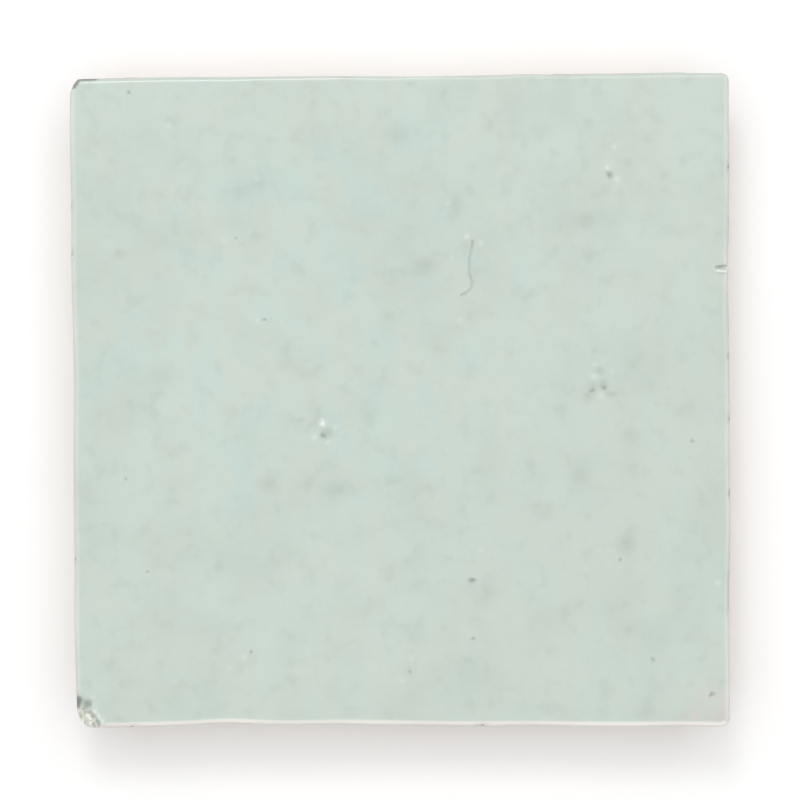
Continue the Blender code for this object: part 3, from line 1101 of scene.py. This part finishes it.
# %% Tin glaze
# Glaze that melted and set is smooth glass, so the eye sees clear highlights over a soft, cloudy
# colour. It is duller where it drew thin.
GLAZE_ROUGHNESS, THIN_ROUGHNESS, GLAZE_IOR = 0.16, 0.3, 1.52
CORE_DARK, HALO_DARK, CRACK_DARK = 0.58, 0.16, 0.26
CORE_FADES, HALO_FADES, CRACK_FADES = (1.15, 0.1), (2.0, 0.7), (0.42, 0.04)
CRACK_WAVER, STREAK_RAGGED, STREAK_STARTS = 0.15, 0.5, (0.05, 0.3)
SPOT_EDGE, GLAZE_EDGE, GLAZE_ENDS = (0.35 * MM, 3.0), (0.7 * MM, 4.0), (-0.04, 0.08)
FRECKLE_SHARE, BLUSH_SHARE = 0.6, 0.8
GLAZE = "#c0ccc2"
GLAZE_SHADE = "#a2aca2"
GLAZE_BLUE = "#bbcdc6"
GLAZE_GREEN = "#becdc3"
GLAZE_CREAM = "#e9e6de"
GLAZE_GLINT_WHITE = "#f2f6f1"
GLAZE_BLUSH = "#cbc6c0"
BLUSH_AT = (48.0 * MM, -48.2 * MM, 11.5 * MM)
BLUSH_FROM, BLUSH_TO = 6.0 * MM, 2.0 * MM
BLUE_AT = (-16.0 * MM, 14.0 * MM, 11.5 * MM)
BLUE_FROM, BLUE_TO = 18.0 * MM, 62.0 * MM
BRUSHED = (1.0, 0.6, 1.0)
BLUISH, GREENISH = (5.5 * MM, 3.0, 0.46, 0.66), (6.5 * MM, 2.0, 0.46, 0.7)
BLUSH_PATCHES = (3 * MM, 2.0, 0.2, 0.6)
RIPPLE, PRICKS = (3.2 * MM, 2.0, 0.02), (0.6 * MM, 2.0, 0.002)
PIT = "#747a70"
CLOUDS = (
    (24 * MM, 2.0, 0.42, 0.72, 0.07),
    (7.5 * MM, 3.0, 0.38, 0.76, 0.20),
    (3.0 * MM, 2.0, 0.50, 0.78, 0.22),
    (1.3 * MM, 2.0, 0.52, 0.82, 0.09),
)


def glaze_clouds(tree, place):
    """Sum of four sizes of dull cloud: each row is size, detail, threshold, full and strength."""
    total = arithmetic(tree, "MULTIPLY", stored(tree, "freckle"), FRECKLE_SHARE)
    for size, detail, low, high, strength in CLOUDS:
        cloud = patchy(tree, place, size, detail, low, high)
        cloud = arithmetic(tree, "MULTIPLY", cloud, strength)
        total = arithmetic(tree, "ADD", total, cloud)
    return total


def glaze_colour(tree, place):
    """Pale mint with faint bluish and greenish patches, dull clouds, one blush, a cream rim and
    painted highlights on the blisters.
    """
    drawn = add_node(tree, "ShaderNodeVectorMath", [(0, place)], operation="MULTIPLY")
    drawn.inputs[1].default_value = BRUSHED
    drawn = drawn.outputs["Vector"]
    region = add_node(tree, "ShaderNodeVectorMath", [(0, place)], operation="DISTANCE")
    region.inputs[1].default_value = BLUE_AT
    region = ramp(tree, region.outputs["Value"], BLUE_TO, BLUE_FROM)
    bluish = patchy(tree, drawn, *BLUISH)
    greenish = patchy(tree, drawn, *GREENISH)
    tone = blend(tree, arithmetic(tree, "MULTIPLY", region, bluish), GLAZE, GLAZE_BLUE)
    tone = blend(tree, greenish, tone, GLAZE_GREEN)
    away = add_node(tree, "ShaderNodeVectorMath", [(0, place)], operation="DISTANCE")
    away.inputs[1].default_value = BLUSH_AT
    blush = ramp(tree, away.outputs["Value"], BLUSH_FROM, BLUSH_TO)
    blush = arithmetic(tree, "MULTIPLY", blush, patchy(tree, place, *BLUSH_PATCHES))
    tone = blend(tree, arithmetic(tree, "MULTIPLY", blush, BLUSH_SHARE), tone, GLAZE_BLUSH)
    tone = blend(tree, glaze_clouds(tree, place), tone, GLAZE_SHADE)
    tone = blend(tree, stored(tree, "thin_glaze"), tone, GLAZE_CREAM)
    # Painted highlight: the blisters are painted near white, on top of the paler thin glaze over
    # them.
    return blend(tree, stored(tree, "blister"), tone, GLAZE_GLINT_WHITE)


def dark_marks(tree, place):
    """How much of the dark of a pinhole or of the crack shows, from 0 to 1."""
    ragged = about_zero(tree, place, *SPOT_EDGE)
    hole = arithmetic(tree, "ADD", stored(tree, "hole"), ragged)
    core = arithmetic(tree, "MULTIPLY", ramp(tree, hole, *CORE_FADES), CORE_DARK)
    halo = arithmetic(tree, "MULTIPLY", ramp(tree, hole, *HALO_FADES), HALO_DARK)
    hairline = arithmetic(tree, "MULTIPLY", ragged, CRACK_WAVER)
    hairline = arithmetic(tree, "ADD", stored(tree, "crack"), hairline)
    hairline = arithmetic(tree, "MULTIPLY", ramp(tree, hairline, *CRACK_FADES), CRACK_DARK)
    return arithmetic(tree, "MAXIMUM", arithmetic(tree, "MAXIMUM", core, halo), hairline)


def streaks_showing(tree, place):
    """How much of the dark streaks shows, from 0 to 1: painted shade in the nick, on the clip and
    along the right side, and darker spots at the crack's ends and in the break.
    """
    ragged = arithmetic(tree, "MULTIPLY", about_zero(tree, place, *SPOT_EDGE), STREAK_RAGGED)
    dark_streak = arithmetic(tree, "ADD", stored(tree, "dark_streak"), ragged)
    return arithmetic(tree, "MULTIPLY", dark_streak, ramp(tree, stored(tree, "dark_streak"), *STREAK_STARTS))


def glaze_relief(tree, place):
    """The faint ripple of glaze that has melted and set, as a height in millimetres."""
    ripple, pricks = bumps(tree, place, *RIPPLE), bumps(tree, place, *PRICKS)
    return arithmetic(tree, "ADD", ripple, pricks)


def make_glaze():
    """Glossy tin glaze that gives way to clay where a point's glaze_reach is below zero."""
    material, tree, shader, place = start_material("tin_glaze")
    ragged = about_zero(tree, place, *GLAZE_EDGE)
    reach = arithmetic(tree, "ADD", stored(tree, "glaze_reach"), ragged)
    glazed = ramp(tree, reach, *GLAZE_ENDS)
    tone = blend(tree, dark_marks(tree, place), glaze_colour(tree, place), PIT)
    tone = blend(tree, glazed, clay_colour(tree, place), tone)
    # The dark streaks, in part painted shade, take the dark grey of the pits.
    tone = blend(tree, streaks_showing(tree, place), tone, PIT)
    relief = add_node(tree, "ShaderNodeMix", data_type="FLOAT")
    tree.links.new(glazed, relief.inputs[0])
    tree.links.new(clay_relief(tree, place), relief.inputs[2])
    tree.links.new(glaze_relief(tree, place), relief.inputs[3])
    bump = add_node(
        tree, "ShaderNodeBump", [("Height", relief.outputs[0])], Distance=MM
    )
    gloss = add_node(tree, "ShaderNodeMapRange", [("Value", glazed)])
    gloss.inputs["To Min"].default_value = CLAY_ROUGHNESS
    duller = arithmetic(tree, "MULTIPLY", stored(tree, "thin_glaze"), THIN_ROUGHNESS)
    tree.links.new(arithmetic(tree, "ADD", duller, GLAZE_ROUGHNESS), gloss.inputs["To Max"])
    tree.links.new(tone, shader.inputs["Base Color"])
    tree.links.new(gloss.outputs[0], shader.inputs["Roughness"])
    tree.links.new(bump.outputs[0], shader.inputs["Normal"])
    shader.inputs["IOR"].default_value = GLAZE_IOR
    return material


# %% Give each face its material
DEEP_IN_CLAY = -1.2
tile.data.materials.append(make_glaze())
tile.data.materials.append(make_clay())
reach = tile.data.attributes["glaze_reach"].data
for face in tile.data.polygons:
    deepest = max(reach[i].value for i in face.vertices)
    face.material_index = 0 if deepest > DEEP_IN_CLAY else 1
clay_faces = sum(face.material_index for face in tile.data.polygons)
print("faces of clay:", clay_faces, "of", len(tile.data.polygons))
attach(tile, "root")
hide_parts("zellige_tile")

# %% [markdown]
# ## Stage, light and camera
#
# The photograph looks straight down, under a broad soft light with a little more of it from the
# top of the picture. Here the tile lies alone on a white floor, which keeps only its shadow.

# %% White floor
# A matt white without a highlight. For the camera alone it also glows, more farther out, so the
# eye sees an even white with nothing on it but the tile's shadow.
FLOOR_SIZE = 3.0
FLOOR_WHITE, PURE_WHITE = "#f7f7f7", "#ffffff"
GLOW_FROM, GLOW_TO, LEAST_GLOW = 0.12, 0.45, 0.06
floor_mesh = bpy.data.meshes.new("floor")
floor_bm = bmesh.new()
bmesh.ops.create_grid(floor_bm, x_segments=1, y_segments=1, size=FLOOR_SIZE)
floor_bm.to_mesh(floor_mesh)
floor_bm.free()
floor = bpy.data.objects.new("floor", floor_mesh)
bpy.context.scene.collection.objects.link(floor)
white = bpy.data.materials.new("white_floor")
white.use_nodes = True
white_shader = white.node_tree.nodes["Principled BSDF"]
white_shader.inputs["Base Color"].default_value = colour(FLOOR_WHITE)
white_shader.inputs["Roughness"].default_value = 1.0
white_shader.inputs["Specular IOR Level"].default_value = 0.0
white_shader.inputs["Emission Color"].default_value = colour(PURE_WHITE)
seen = add_node(white.node_tree, "ShaderNodeLightPath").outputs["Is Camera Ray"]
spot = add_node(white.node_tree, "ShaderNodeTexCoord").outputs["Object"]
away = add_node(white.node_tree, "ShaderNodeVectorMath", [(0, spot)], operation="LENGTH")
lift = ramp(white.node_tree, away.outputs["Value"], GLOW_FROM, GLOW_TO)
lift = arithmetic(white.node_tree, "ADD", lift, LEAST_GLOW)
lift = arithmetic(white.node_tree, "MULTIPLY", seen, lift)
white.node_tree.links.new(lift, white_shader.inputs["Emission Strength"])
floor.data.materials.append(white)

# %% Soft light
world = bpy.data.worlds.new("studio")
bpy.context.scene.world = world
world.use_nodes = True
backdrop = world.node_tree.nodes["Background"]
backdrop.inputs["Color"].default_value = colour(PURE_WHITE)
FILL = 0.3
path = add_node(world.node_tree, "ShaderNodeLightPath")
shown = arithmetic(
    world.node_tree, "MAXIMUM", path.outputs["Is Camera Ray"], path.outputs["Is Glossy Ray"]
)
level = add_node(world.node_tree, "ShaderNodeMapRange", [("Value", shown)])
level.inputs["To Min"].default_value = FILL
level.inputs["To Max"].default_value = 1.0
world.node_tree.links.new(level.outputs[0], backdrop.inputs["Strength"])


def soft_light(name, place, size, power):
    """A square light that shines at the middle of the tile."""
    light = bpy.data.lights.new(name, "AREA")
    light.size = size
    light.energy = power
    lamp = bpy.data.objects.new(name, light)
    lamp.location = place
    lamp.rotation_euler = (-Vector(place)).to_track_quat("-Z", "Y").to_euler()
    bpy.context.scene.collection.objects.link(lamp)


soft_light("overhead", place=(0.0, 0.12, 1.0), size=2.1, power=15.4)
soft_light("window", place=(-0.12, 0.6, 0.85), size=0.3, power=1.6)

# %% Camera straight above
CAMERA_HEIGHT = 0.6
SEEN_WIDTH = 121.9 * MM
SENSOR_WIDTH = 36.0
camera_data = bpy.data.cameras.new("camera")
camera_data.sensor_width = SENSOR_WIDTH
camera_data.lens = SENSOR_WIDTH * (CAMERA_HEIGHT - THICKNESS) / SEEN_WIDTH
camera = bpy.data.objects.new("camera", camera_data)
camera.location = (0.0, 0.0, CAMERA_HEIGHT)
bpy.context.scene.collection.objects.link(camera)
bpy.context.scene.camera = camera
bpy.context.scene.view_settings.view_transform = "Standard"
